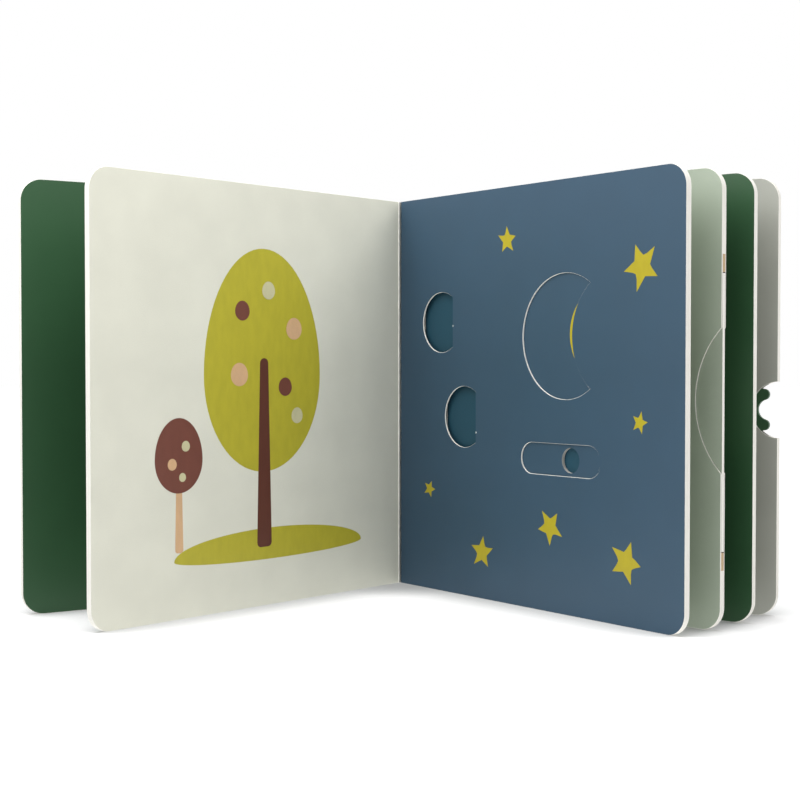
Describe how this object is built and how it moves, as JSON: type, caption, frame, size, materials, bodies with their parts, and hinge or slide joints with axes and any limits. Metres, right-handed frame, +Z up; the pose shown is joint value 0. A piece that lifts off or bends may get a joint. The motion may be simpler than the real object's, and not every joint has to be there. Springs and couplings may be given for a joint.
{
  "type": "board book",
  "caption": "Square board book standing open like a fan, with a push slider behind cut-out windows, a pull-out panel and a turning picture wheel.",
  "frame": {"origin": "middle of the open book's footprint, on the surface that it stands on", "axes": "+X to the reader's right along the open book's width, +Y away from the reader, +Z up"},
  "size_m": [0.348, 0.1728, 0.2],
  "materials": {
    "page_board": "matt print on white board",
    "slider_card": "matt dusty blue print",
    "panel_card": "matt sage green print",
    "stop_card": "plain white card",
    "rail_board": "plain brown board",
    "front_cover_board": "matt dark green print",
    "back_cover_board": "matt warm grey print",
    "wheel_card": "matt dark green print",
    "spine_card": "matt dark green print"
  },
  "bodies": {
    "pages": {"page_block": "page_board", "panel_stop": "stop_card", "guide_rail_upper": "rail_board", "guide_rail_lower": "rail_board", "spine": "spine_card"},
    "front_cover": {"front_cover": "front_cover_board"},
    "back_cover": {"back_cover": "back_cover_board", "wheel_hub": "stop_card"},
    "moon_slider": {"moon_slider": "slider_card"},
    "pull_out_panel": {"pull_out_panel": "panel_card"},
    "picture_wheel": {"picture_wheel": "wheel_card"}
  },
  "joints": [
    {"name": "front_cover_hinge", "type": "hinge", "parent": "pages", "child": "front_cover", "pos_m": [-0.00211, 0.07583, 0], "axis": [0, 0, 1], "range_deg": [-115, 17.1], "deforming": ["spine"]},
    {"name": "back_cover_hinge", "type": "hinge", "parent": "pages", "child": "back_cover", "pos_m": [0.00732, 0.08022, 0], "axis": [0, 0, 1], "range_deg": [-6.3, 115], "deforming": ["spine"]},
    {"name": "moon_slide", "type": "slide", "parent": "pages", "child": "moon_slider", "axis": [0.599, -0.8007, 0], "range_m": [-0.0256, 0.0126]},
    {"name": "panel_slide", "type": "slide", "parent": "pages", "child": "pull_out_panel", "axis": [0.6769, -0.7361, 0], "range_m": [0, 0.1]},
    {"name": "wheel_spin", "type": "hinge", "parent": "back_cover", "child": "picture_wheel", "pos_m": [0.11622, 0.00732, 0.0944], "axis": [0.5664, 0.8241, 0], "continuous": true}
  ]
}
